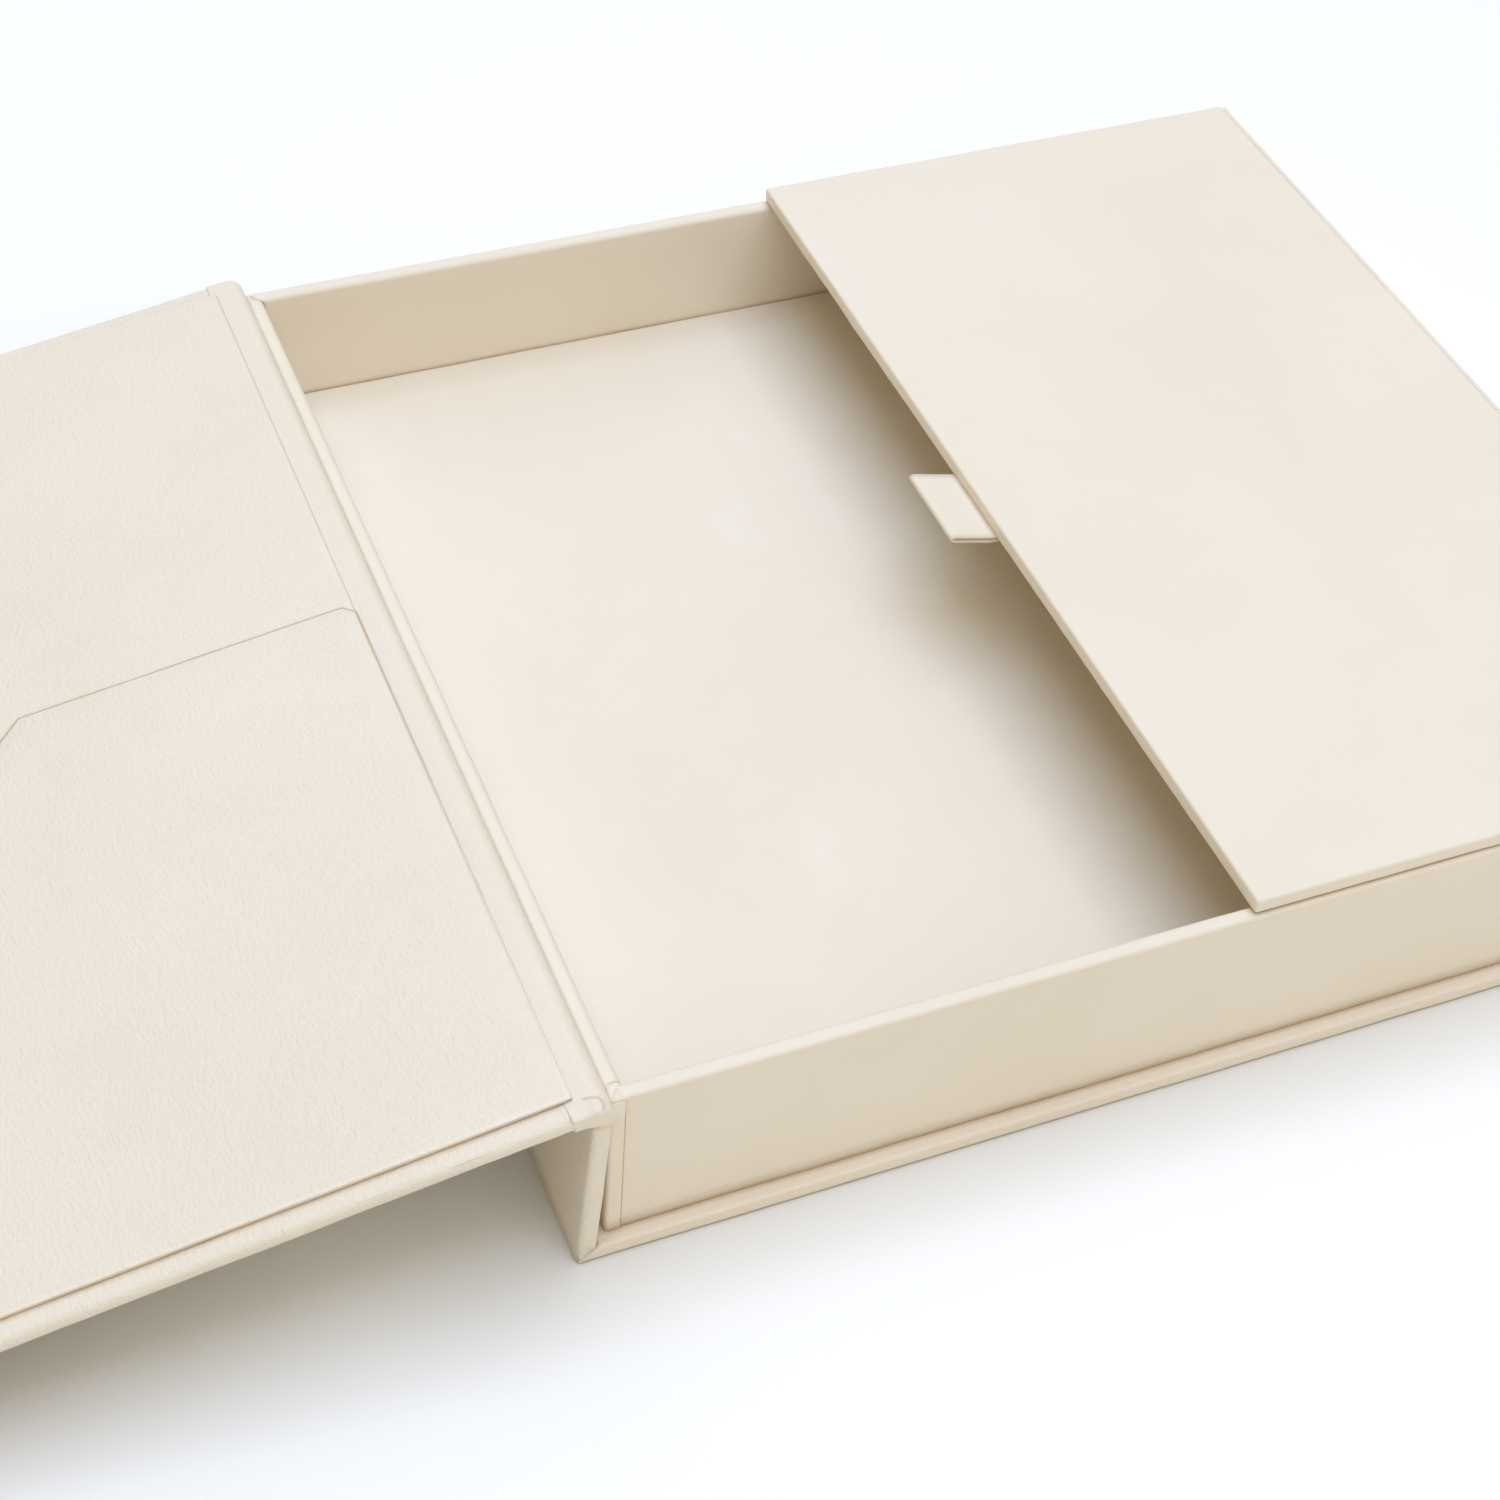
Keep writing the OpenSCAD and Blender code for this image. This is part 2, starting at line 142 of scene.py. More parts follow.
def round_edges(bm, radius, choose=None, segments=5):
    """Bevels the sharp edges, or those of them whose middle choose() accepts."""
    edges = [
        e for e in bm.edges
        if len(e.link_faces) == 2 and e.calc_face_angle() > 0.6
        and (choose is None or choose((e.verts[0].co + e.verts[1].co) / 2))
    ]
    bmesh.ops.bevel(
        bm, geom=edges, offset=radius, offset_type="OFFSET", segments=segments,
        profile=0.5, affect="EDGES", material=-1, clamp_overlap=True,
    )


def cut_plane(bm, point, normal, keep_front=False):
    bmesh.ops.bisect_plane(
        bm, geom=bm.verts[:] + bm.edges[:] + bm.faces[:], dist=0.0005,
        plane_co=point, plane_no=normal, clear_inner=keep_front,
    )


def close_cut(bm, point, normal):
    """Closes the hole that a cut has left, with a face of its own corners."""
    rim = [e for e in bm.edges if e.is_boundary
           and all(abs((v.co - point).dot(normal)) < 0.01 for v in e.verts)]
    for face in bmesh.ops.edgeloop_fill(bm, edges=rim)["faces"]:
        face.normal_update()
        if face.normal.dot(normal) > 0:
            face.normal_flip()
        bmesh.ops.split(bm, geom=[face])


def cut_across(bm, axis, places):
    normal = Vector((0, 0, 0))
    normal[axis] = 1
    for place in places:
        cut_plane(bm, normal * place, normal)


behind_edge = 0.25


def steps(low, high, step, guard=edge_r + behind_edge):
    """Even places from low to high, with one close behind each rounded edge."""
    inner_low, inner_high = low + guard, high - guard
    count = max(1, round((inner_high - inner_low) / step))
    return [inner_low + (inner_high - inner_low) * i / count for i in range(count + 1)]


print("a 3 mm net on the cover has", len(steps(0, cover_w, 3)), "lines")

# %% Lines drawn on a skin
def line_distance(p, line):
    """How far a point is from a line of corners seen from above, and from which side."""
    nearest = []
    for side, (a, b) in enumerate(zip(line, line[1:])):
        a, b = Vector(a), Vector(b)
        share = min(max((p.xy - a).dot(b - a) / (b - a).length_squared, 0.0), 1.0)
        nearest.append(((a + (b - a) * share - p.xy).length, side))
    return min(nearest)


crease_reach = 0.5


def line_crease(p, line, strength):
    """A crease of that strength on the line, painted as shade and pressed as a shallow
    groove, which fades away within crease_reach.
    """
    return strength * max(0.0, 1 - line_distance(p, line)[0] / crease_reach)


print("a crease fades within", crease_reach, "mm")


# %% Softening and finishing a piece
def soften(bm, amount, size, seed):
    """Moves the skin in and out by about amount, in waves of about size."""
    ripple_size, ripple_share = 0.3, 0.6
    bm.normal_update()
    for v in bm.verts:
        wave = noise.noise(v.co / size + Vector((seed, seed / 3, 0)))
        ripple = noise.noise(v.co / (size * ripple_size) - Vector((0, seed, seed)))
        v.co += v.normal * amount * (wave + ripple_share * ripple)


def finish_piece(bm, name, place, material, body, nodes, skin=0.0):
    bmesh.ops.transform(bm, matrix=place, verts=bm.verts)
    for face in bm.faces:
        face.smooth = True
    mesh = bpy.data.meshes.new(name)
    bm.to_mesh(mesh)
    bm.free()
    mesh.materials.append(material)
    piece = bpy.data.objects.new(name, mesh)
    bpy.context.scene.collection.objects.link(piece)
    if skin:
        thickness = piece.modifiers.new("Skin", "SOLIDIFY")
        thickness.thickness = skin * 0.001
        thickness.offset = -1
        thickness.use_even_offset = True
    if body:
        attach(piece, body)
    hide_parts(*nodes)
    print(f"{name}: {len(mesh.polygons)} faces")
    return piece


# %% [markdown]
# ## Shader arithmetic
# A grain is a sum of patterns. Written as Python expressions it reads like the
# sum it is, so a small class wraps a socket and turns + - * into Math nodes.

# %% A socket that can be added and multiplied
class Signal:
    def __init__(self, tree, socket):
        self.tree, self.socket = tree, socket

    def math(self, operation, other=None):
        node = self.tree.nodes.new("ShaderNodeMath")
        node.operation = operation
        self.tree.links.new(self.socket, node.inputs[0])
        if isinstance(other, Signal):
            self.tree.links.new(other.socket, node.inputs[1])
        elif other is not None:
            node.inputs[1].default_value = other
        return Signal(self.tree, node.outputs[0])

    def __add__(self, other):
        return self.math("ADD", other)

    __radd__ = __add__

    def __mul__(self, other):
        return self.math("MULTIPLY", other)

    __rmul__ = __mul__

    def __sub__(self, other):
        return self.math("SUBTRACT", other)

    def __rsub__(self, other):
        return (self * -1) + other


# %% A finish, built node by node
class Finish:
    def __init__(self, name, world=None):
        self.material = world or bpy.data.materials.new(name)
        self.material.use_nodes = True
        self.tree = self.material.node_tree
        self.tree.nodes.clear()
        self.output = self.tree.nodes.new(
            "ShaderNodeOutputWorld" if world else "ShaderNodeOutputMaterial")

    def node(self, kind, settings=None, out=0, **sockets):
        """A node with its settings; each socket takes a Signal or a constant."""
        made = self.tree.nodes.new(kind)
        for key, value in (settings or {}).items():
            if key == "stops":
                ramp = made.color_ramp
                for i, (place, colour) in enumerate(value):
                    stop = ramp.elements[i] if i < 2 else ramp.elements.new(place)
                    stop.position, stop.color = place, colour
            else:
                setattr(made, key, value)
        for key, value in sockets.items():
            socket = made.inputs[key.replace("_", " ")]
            if isinstance(value, Signal):
                self.tree.links.new(value.socket, socket)
            else:
                socket.default_value = value
        return Signal(self.tree, made.outputs[out])

    def place(self):
        return self.node("ShaderNodeTexCoord", out=3)

    def noise(self, scale, detail=2.0, rough=0.5, squeeze=None):
        """Noise at the place; squeeze is a stretch and a turn of the pattern."""
        source = self.place()
        if squeeze:
            source = self.node("ShaderNodeMapping", Vector=source, Scale=squeeze[0],
                               Rotation=squeeze[1])
        return self.node("ShaderNodeTexNoise", Vector=source, Scale=scale,
                         Detail=detail, Roughness=rough)

    def mix(self, factor, first, second):
        made = self.tree.nodes.new("ShaderNodeMix")
        made.data_type = "RGBA"
        for socket, value in zip((made.inputs[0], made.inputs[6], made.inputs[7]),
                                 (factor, first, second)):
            if isinstance(value, Signal):
                self.tree.links.new(value.socket, socket)
            else:
                socket.default_value = value
        return Signal(self.tree, made.outputs[2])

    def limit(self, signal):
        return self.node("ShaderNodeClamp", Value=signal)

    def openness(self, reach, inside=False, samples=2):
        """1 where a point sees free space, less in a seam, or at an edge from inside."""
        return self.node(
            "ShaderNodeAmbientOcclusion",
            {"samples": samples, "inside": inside, "only_local": inside},
            out=1, Distance=reach)

    def blend_shaders(self, factor, first, second):
        """The output shows the first shader where factor is 0, the second where it is 1."""
        mixed = self.node("ShaderNodeMixShader", Fac=factor)
        for place, shader in ((1, first), (2, second)):
            self.tree.links.new(shader.socket, mixed.socket.node.inputs[place])
        self.tree.links.new(mixed.socket, self.output.inputs[0])

    def surface(self, colour, rough, height, depth, **plain):
        """The finished surface; depth is what a height of 1 stands for, in metres."""
        shader = self.tree.nodes.new("ShaderNodeBsdfPrincipled")
        links = {"Base Color": colour, "Roughness": rough}
        links["Normal"] = self.node(
            "ShaderNodeBump", Height=height, Distance=depth, Strength=1.0)
        for key, value in {**links, **plain}.items():
            if isinstance(value, Signal):
                self.tree.links.new(value.socket, shader.inputs[key])
            else:
                shader.inputs[key].default_value = value
        self.tree.links.new(shader.outputs[0], self.output.inputs[0])
        return self.material


def tone(red, green, blue):
    """A colour as it looks on screen, 0 to 255, as Blender wants it."""
    return tuple(
        (c / 3294.6 if c <= 10.31 else ((c / 255 + 0.055) / 1.055) ** 2.4)
        for c in (red, green, blue)
    ) + (1.0,)


# %% [markdown]
# ## Leatherette
# The covering is a coated paper with a pressed grain: short, shallow wrinkles
# about a millimetre long, mostly lying one way, with a finer tooth over them.
# Stretched noise gives the wrinkles and a fine noise the tooth. The colour
# moves a little between ivory and cream over several centimetres. Seams, where
# a point sees little free space, are painted darker and warmer as shade. So is
# a pressed crease, which a skin carries as an attribute and which is also a
# shallow groove. Edges, seen from inside, get a painted highlight: paler.

# %% The leatherette finishes
seam_reach, edge_reach = 0.0014, 0.0005
pucker_depth, crease_depth = 0.00022, 0.0001
mid_rough = 0.42


def leatherette(name, grain, wrinkle=1.0, shade_strength=0.7):
    """grain is the depth of the wrinkles in metres, shade_strength how dark the painted
    shade in the seams is.
    """
    finish = Finish(name)
    cloud = finish.noise(14.0, 3.0, 0.6)
    fleck = finish.noise(900.0, 2.0, 0.6)
    ground = finish.node(
        "ShaderNodeValToRGB",
        {"stops": [(0.3, cream), (0.7, ivory)]},
        Fac=cloud * 0.85 + fleck * 0.15,
    )
    # Painted shade: seams turn warm brown where a point sees little free space.
    seam_shade_mask = finish.limit(2.3 - finish.openness(seam_reach) * 3.2)
    # Painted highlight: edges, found from inside, are made paler; the same mask keeps the
    # pucker bump to the edges.
    edge_highlight_mask = finish.limit(1.9 - finish.openness(edge_reach, inside=True) * 2.2)
    highlighted_ground = finish.mix(edge_highlight_mask * 0.5, ground, edge_highlight_tone)
    # Painted shade along creases, read from the skin's attribute; the same value sinks a
    # shallow groove in the bump.
    crease_and_shade = finish.node("ShaderNodeAttribute", {"attribute_name": "crease_and_shade"}, out=2)
    colour = finish.mix(finish.limit(seam_shade_mask * shade_strength + crease_and_shade), highlighted_ground, painted_shade_tone)
    long_wrinkle = finish.noise(
        1250.0, 2.0, 0.6, squeeze=((1.0, 0.42, 1.0), (0.0, 0.0, 0.6)))
    cross_wrinkle = finish.noise(
        900.0, 2.0, 0.6, squeeze=((0.5, 1.0, 1.0), (0.0, 0.0, -0.3)))
    tooth = finish.noise(2400.0, 2.0, 0.5)
    pucker = finish.noise(260.0, 2.0, 0.55) * edge_highlight_mask
    height = (long_wrinkle + cross_wrinkle * 0.6) * (wrinkle * grain)
    height = height + tooth * (grain * 0.2)
    height = height + pucker * pucker_depth - crease_and_shade * crease_depth
    roughness = cloud * 0.06 + fleck * 0.1 + mid_rough
    return finish.surface(
        colour, roughness, height, 1.0, **{"Specular IOR Level": 0.4})


ivory, cream = tone(242, 232, 215), tone(237, 226, 206)
painted_shade_tone, edge_highlight_tone = tone(178, 136, 70), tone(250, 243, 230)
grained = leatherette("leatherette_grained", 0.00030)
hinge_skin = leatherette("leatherette_hinge", 0.00018, shade_strength=0.0)
smooth = leatherette("leatherette_smooth", 0.00006, wrinkle=0.7, shade_strength=0.35)
floor_skin = leatherette("leatherette_floor", 0.00003, wrinkle=0.5, shade_strength=0.45)
print("finishes:", grained.name, hinge_skin.name, smooth.name, floor_skin.name)

# %% [markdown]
# ## Grey board and foam
# The boards and the pad are closed in by the coverings. Bookbinder's board is
# pressed waste paper: grey-brown, with short fibres.

# %% The hidden finishes
fibre_depth = 0.0001


def pressed(name, light, shade, scale, squeeze):
    finish = Finish(name)
    fibre = finish.noise(scale, 4.0, 0.65, squeeze=squeeze)
    colour = finish.node(
        "ShaderNodeValToRGB", {"stops": [(0.35, shade), (0.65, light)]}, Fac=fibre)
    return finish.surface(colour, fibre * 0.1 + 0.8, fibre, fibre_depth)


board_finish = pressed("grey_board", tone(170, 160, 146), tone(140, 130, 116), 700.0,
                       ((1.0, 0.3, 1.0), (0.0, 0.0, 0.2)))
foam_finish = pressed("foam", tone(238, 238, 234), tone(222, 222, 216), 1500.0,
                      ((1.0, 1.0, 1.0), (0.0, 0.0, 0.0)))

for name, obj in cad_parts.items():
    if name.endswith("board") or "_board_" in name or name == "floor_card":
        finish_now = board_finish
    elif name == "floor_pad":
        finish_now = foam_finish
    else:
        finish_now = smooth
    obj.data.materials.clear()
    obj.data.materials.append(finish_now)
print("finished", len(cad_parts), "packed pieces")

# %% [markdown]
# ## A sheet that turns round a board
# Covering is glued to the outer face, folded over the edges and glued down 15 mm
# inside. So the skin is a rounded block with a window cut in one face.

# %% The covering of a board
def covering(x, y, z, window, step=5.0, radius=edge_r):
    """The skin of a board; window is 1 or -1, the side of z where it is cut out."""
    bm = block(x, y, z)
    inner = facing(bm, 2, window)
    bmesh.ops.inset_region(bm, faces=inner, thickness=turn_in, use_even_offset=True)
    drop(bm, inner)
    round_edges(bm, radius)
    cut_across(bm, 0, steps(x[0], x[1], step, radius + behind_edge))
    cut_across(bm, 1, steps(y[0], y[1], step, radius + behind_edge))
    return bm


# %% [markdown]
# ## The base
# The base is a covered board that shows as a narrow ledge round the tray. Its
# left edge is cut at 45 degrees against the foot of the spine.

# %% Base covering
base = covering((0, case_w), (-case_d / 2, case_d / 2), (0, panel_t), 1)
soften(base, 0.10, 22.0, 3.0)
mitre = Vector((foot_gap, 0, 0)), Vector((1, 0, -1))
cut_plane(base, *mitre, keep_front=True)
close_cut(base, *mitre)
cut_across(base, 0, [foot_reach])
drop(base, [f for f in base.faces
            if f.calc_center_median().x < foot_reach and f.calc_center_median().z < 0.3])
for v in base.verts:
    v.co.z = max(v.co.z, 0.0)
finish_piece(base, "base_covering", case_place, grained, "tray", ["base_wrap"],
             skin=wrap_t)

# %% [markdown]
# ## The tray's four sheets
# The tray is covered with four sheets. Each lies on the outer face of a wall,
# turns over the rim and goes down inside. All four start as one ring: a block
# whose top is inset by the wall's thickness and pushed down. The ring is then
# cut at the corners, and the side sheets lap 3.6 mm round the near and far walls.
# At the near left corner the near sheet is folded over the left rim, which
# leaves an arched edge and a small triangle, drawn as lines of painted shade.

# %% One ring of covering
lap, seam, mitre_gap, lap_lift = 3.6, 0.06, 0.03, 0.35
lap_top, butt, skirt_z = rim_z - 1.1, panel_t + 0.5, 8.0


def tray_ring():
    bm = block((tray_x0, tray_x1), (-half_tray, half_tray), (panel_t, rim_z))
    top = facing(bm, 2, 1)
    bottom = facing(bm, 2, -1)
    bmesh.ops.inset_region(bm, faces=top, thickness=panel_t, use_even_offset=True)
    pushed = bmesh.ops.extrude_face_region(bm, geom=top)["geom"]
    well_floor = [f for f in pushed if isinstance(f, bmesh.types.BMFace)]
    bmesh.ops.translate(bm, vec=(0, 0, skirt_z - rim_z), verts=new_verts(pushed))
    leftover = [f for f in top if f.is_valid and f not in well_floor]
    drop(bm, bottom + well_floor + leftover)
    bm.normal_update()

    def outside(p):
        return (p.x < tray_x0 + 1 or p.x > tray_x1 - 1 or abs(p.y) > half_tray - 1)

    round_edges(bm, rim_outer_r, outside)
    round_edges(bm, rim_inner_r, lambda p: not outside(p) and p.z > rim_z - 0.5,
                segments=4)
    return bm


ring = tray_ring()
cut_across(ring, 0, steps(tray_x0, tray_x1, 4.0))
cut_across(ring, 1, steps(-half_tray, half_tray, 4.0))
cut_across(ring, 2, [lap_top, 44, 38, 32, 26, 20, 14, 9])
soften(ring, 0.13, 18.0, 11.0)
for place in (tray_x0 + lap, tray_x0 + lap + seam, tray_x1 - lap, tray_x1 - lap - seam):
    cut_across(ring, 0, [place])
cut_across(ring, 1, [butt - half_tray])
# A finer net for the creases at the near left corner and beside each lap. Its
# lines keep off those of the rounded edges, so that no face is a mere sliver.
fine_x, fine_y = (1.4, 1.8, 2.2, 2.9, 3.4, 3.9), (1.25, 1.6, 2.0, 2.4, 2.75, 3.05,
                                                  3.5, 3.95, 4.4, 5.1, 5.6)
cut_across(ring, 0, [tray_x0 + far for far in fine_x])
cut_across(ring, 0, [tray_x1 - far for far in (3.35, 3.9)])
cut_across(ring, 1, [far - half_tray for far in fine_y])
for corner_x, turn in ((tray_x0, 1), (tray_x1, -1)):
    for side in (-1, 1):
        across = Vector((turn, side, 0)).normalized()
        corner = Vector((corner_x, side * half_tray, 0))
        for shift in (-mitre_gap, mitre_gap):
            cut_plane(ring, corner + across * shift, across)
print("the ring has", len(ring.faces), "faces")

# %% Creases on the ring
# The creases are painted shade: darker lines along the folded edge and the small triangle
# at the near left corner, and beside each lap.
folded_edge = [(0.1, 3.2), (0.9, 4.0), (1.8, 4.5), (2.8, 4.8), (3.8, 4.75), (4.4, 4.6)]
triangle = [(1.2, 0.9), (2.6, 2.9), (2.6, 0.7)]
fold_shade, lap_shade = 0.3, 0.45
crease_and_shade = ring.verts.layers.float.new("crease_and_shade")
for v in ring.verts:
    end = min(v.co.x - tray_x0, tray_x1 - v.co.x)
    flank = half_tray - abs(v.co.y)
    if v.co.z < lap_top + 0.1 and flank < 0.9 and lap - 0.02 < end < lap + seam + 0.02:
        v[crease_and_shade] = lap_shade
    if v.co.z > rim_z - 1.2 and v.co.x < tray_x0 + 6 and v.co.y < 8 - half_tray:
        spot = Vector((v.co.x - tray_x0, v.co.y + half_tray, 0))
        v[crease_and_shade] = max(line_crease(spot, folded_edge, fold_shade),
                        line_crease(spot, triangle, fold_shade))
print("creased:", sum(v[crease_and_shade] > 0 for v in ring.verts), "corners of the net")

# %% The ring cut into four sheets
def sheet_of(face):
    """Which sheet a face of the ring belongs to, or None in a seam."""
    p = face.calc_center_median()
    depth = {"left": p.x - tray_x0, "right": tray_x1 - p.x,
             "near": p.y + half_tray, "far": half_tray - p.y}
    side = min(depth, key=depth.get)
    ends = min(depth["left"], depth["right"])
    flanks = min(depth["near"], depth["far"])
    lapped = flanks < wrap_t and p.z < lap_top
    if lapped and side in ("near", "far"):
        if ends < lap:
            return "left" if depth["left"] < depth["right"] else "right"
        if ends < lap + seam:
            return None
    if p.z > lap_top and depth["left"] < panel_t - 0.05 and depth["near"] < butt:
        return "near"
    if not lapped and abs(ends - flanks) < mitre_gap * 1.42:  # measured along x or y
        return None
    return side


for side in ("near", "far", "left", "right"):
    sheet = ring.copy()
    sheet.normal_update()
    drop(sheet, [f for f in sheet.faces if sheet_of(f) != side])
    if side in ("left", "right"):
        for v in sheet.verts:
            end = abs(v.co.y) - (half_tray - wrap_t)
            if end > 0 and v.co.z < lap_top + 0.01:
                v.co.y += math.copysign(lap_lift, v.co.y)
    finish_piece(sheet, f"tray_covering_{side}", case_place, smooth, "tray",
                 [f"wall_wrap_{side}"], skin=wrap_t)
ring.free()

# %% [markdown]
# ## The tray's floor
# The lining is stretched over a card on a foam pad, so its edge is rounded where
# it drops between the pad and the wall.

# %% Floor lining
gap, floor_r = 0.12, 0.5
floor_sheet = block((well_x0 + gap, well_x1 - gap), (gap - half_well, half_well - gap),
                    (floor_z - wrap_t, floor_z))
round_edges(floor_sheet, floor_r, lambda p: p.z > floor_z - 0.1, segments=4)
cut_across(floor_sheet, 0, steps(well_x0 + gap, well_x1 - gap, 6.0, 0.7))
cut_across(floor_sheet, 1, steps(gap - half_well, half_well - gap, 6.0, 0.7))
soften(floor_sheet, 0.10, 30.0, 21.0)
for v in floor_sheet.verts:
    v.co.z = max(v.co.z, floor_z - wrap_t)
finish_piece(floor_sheet, "floor_cloth", case_place, floor_skin, "tray", ["floor_lining"])

# %% [markdown]
# ## The spine
# The spine's sheet covers its outer face and turns round both ends. It is made
# upright and leaned against the tray by its place. Its foot is cut a degree
# steeper than the base's edge, which leaves the fold room.

# %% Spine covering
foot_band, spine_end_r, spine_inner_r, end_turn_in = 10.0, 1.5, 0.6, 1.6
foot_angle = 46
spine = block((0, spine_t), (-case_d / 2, case_d / 2), (0, spine_h))
drop(spine, facing(spine, 2, 1))
inner = facing(spine, 0, 1)
bmesh.ops.inset_region(spine, faces=inner, thickness=end_turn_in, use_even_offset=True)
for v in {v for f in inner for v in f.verts}:
    v.co.z = spine_h if v.co.z > spine_h / 2 else foot_band
drop(spine, inner + [f for f in spine.faces if f.calc_area() < 1e-4 and f not in inner])
round_edges(spine, spine_end_r, lambda p: abs(p.y) > case_d / 2 - 0.5 and p.x < 1,
            segments=6)
round_edges(spine, spine_inner_r,
            lambda p: abs(p.y) > case_d / 2 - 0.5 and p.x > spine_t - 0.5)
cut_across(spine, 1, steps(-case_d / 2, case_d / 2, 5.0))
cut_across(spine, 2, [6, 12, 18, 24, 30, 36, 42, 46])
soften(spine, 0.12, 16.0, 31.0)
rise = math.tan(math.radians(foot_angle + lean))
mitre = Vector((0, 0, foot_gap)), Vector((-rise, 0, 1))
cut_plane(spine, *mitre, keep_front=True)
close_cut(spine, *mitre)
cut_across(spine, 2, [foot_reach])
drop(spine, [f for f in spine.faces
             if f.calc_center_median().z < foot_reach and f.calc_center_median().x < 0.35])
finish_piece(spine, "spine_covering", spine_place, grained, "spine", ["spine_wrap"],
             skin=wrap_t)

# %% [markdown]
# ## The cover
# Covering below and round the edges, then the lining panel, 5 mm inside the
# edge, and on it the pocket. All of it is made flat, in the cover's place. Near
# the hinge the covering is kept under the hinge's cloth, which wraps it.

# %% Cover covering
under_cloth = 0.1
cover = covering((-cover_w, 0), (-case_d / 2, case_d / 2), (0, panel_t), 1,
                 radius=cover_edge_r)
soften(cover, 0.12, 20.0, 41.0)
for v in cover.verts:
    if v.co.x > -cloth_reach:
        v.co.z = min(max(v.co.z, under_cloth), panel_t - under_cloth)
        v.co.y = min(max(v.co.y, under_cloth - case_d / 2), case_d / 2 - under_cloth)
finish_piece(cover, "cover_covering", cover_place, grained, "cover", ["cover_wrap"],
             skin=wrap_t)

# %% Cover lining panel
panel_x, panel_y = (-cover_w + panel_border, -panel_border), case_d / 2 - panel_border
lining_r, hinge_side_shade = 0.45, 0.3
pressed_in, pressed_reach, corner_lift, corner_reach = 0.45, 3.0, 0.5, 9.0
lining = block(panel_x, (-panel_y, panel_y), (panel_t, panel_t + cover_panel_t))
round_edges(lining, lining_r, lambda p: p.z > panel_t + 0.1, segments=4)
cut_across(lining, 0, steps(*panel_x, 6.0, 0.7))
cut_across(lining, 1, steps(-panel_y, panel_y, 6.0, 0.7))
near_corner = Vector((panel_x[1], -panel_y, panel_t))
crease_and_shade = lining.verts.layers.float.new("crease_and_shade")
for v in lining.verts:
    inward = panel_x[1] - v.co.x
    # Painted shade: a darker line along the panel's hinge side.
    if inward < 0.5:
        v[crease_and_shade] = hinge_side_shade
    if v.co.z > panel_t + 0.1:
        v.co.z -= pressed_in * max(0.0, 1 - inward / pressed_reach)
    from_corner = (v.co - near_corner).length / corner_reach
    v.co.z += corner_lift * max(0.0, 1 - from_corner) ** 2
soften(lining, 0.10, 26.0, 51.0)
finish_piece(lining, "cover_lining_panel", cover_place, grained, "cover", ["cover_lining"])

# %% [markdown]
# ## The pocket
# The pocket is a second sheet, hemmed and glued down along three sides. Its open
# edge has a long finger cut with slanting ends.

# %% Pocket outline
pocket_z, chamfer = panel_t + cover_panel_t, 3.0
far_x, hinge_x = panel_x
near_y, top_y = -panel_y, pocket_d - panel_y
cut_x0, cut_x1 = (-cover_w - cut_w) / 2, (-cover_w + cut_w) / 2
outline = [
    (far_x, near_y), (hinge_x, near_y),
    (hinge_x, top_y - chamfer), (hinge_x - chamfer, top_y),
    (cut_x1, top_y), (cut_x1 - cut_d, top_y - cut_d),
    (cut_x0 + cut_d, top_y - cut_d), (cut_x0, top_y),
    (far_x + chamfer, top_y), (far_x, top_y - chamfer),
]
pocket = bmesh.new()
corners = [pocket.verts.new((x, y, pocket_z)) for x, y in outline]
plan = pocket.faces.new(corners)
raised = bmesh.ops.extrude_face_region(pocket, geom=[plan])["geom"]
bmesh.ops.translate(pocket, vec=(0, 0, pocket_t), verts=new_verts(raised))
pocket.normal_update()
bmesh.ops.recalc_face_normals(pocket, faces=pocket.faces)
for margin in (0.9, 1.6, 2.2):  # rings of corners for the flattened border
    bmesh.ops.inset_region(pocket, faces=facing(pocket, 2, 1)[:1], thickness=margin,
                           use_even_offset=True)
    pocket.normal_update()
round_edges(pocket, 0.4, lambda p: p.z > pocket_z + 0.7, segments=4)
print("the pocket's outline has", len(outline), "corners")

# %% Pocket sheet
border, flattened, border_shade = 4.7, 0.78, 0.7
crease_and_shade = pocket.verts.layers.float.new("crease_and_shade")
for v in pocket.verts:
    distance, side = line_distance(v.co, outline + outline[:1])
    if v.co.z > pocket_z + 0.5:
        loose = min(distance / border, 1.0)
        v.co.z -= (1 - loose * loose * (3 - 2 * loose)) * flattened
    # Painted shade: a darker line along the pocket's edges, all but the near one.
    if distance < 0.7 and side != 0:
        v[crease_and_shade] = border_shade
cut_across(pocket, 0, steps(far_x, hinge_x, 6.0, 0.8))
cut_across(pocket, 1, steps(near_y, top_y, 6.0, 0.8))
soften(pocket, 0.12, 24.0, 61.0)
pocket_piece = finish_piece(pocket, "pocket", cover_place, grained, "cover",
                            ["pocket_sheet"])

# %% [markdown]
# ## The hinges
# Where covering crosses a hinge it is a soft roll or fold. Each is drawn as an
# outline in x and z and pulled along the whole depth.

# %% A strip along the depth
roundness = 0.5


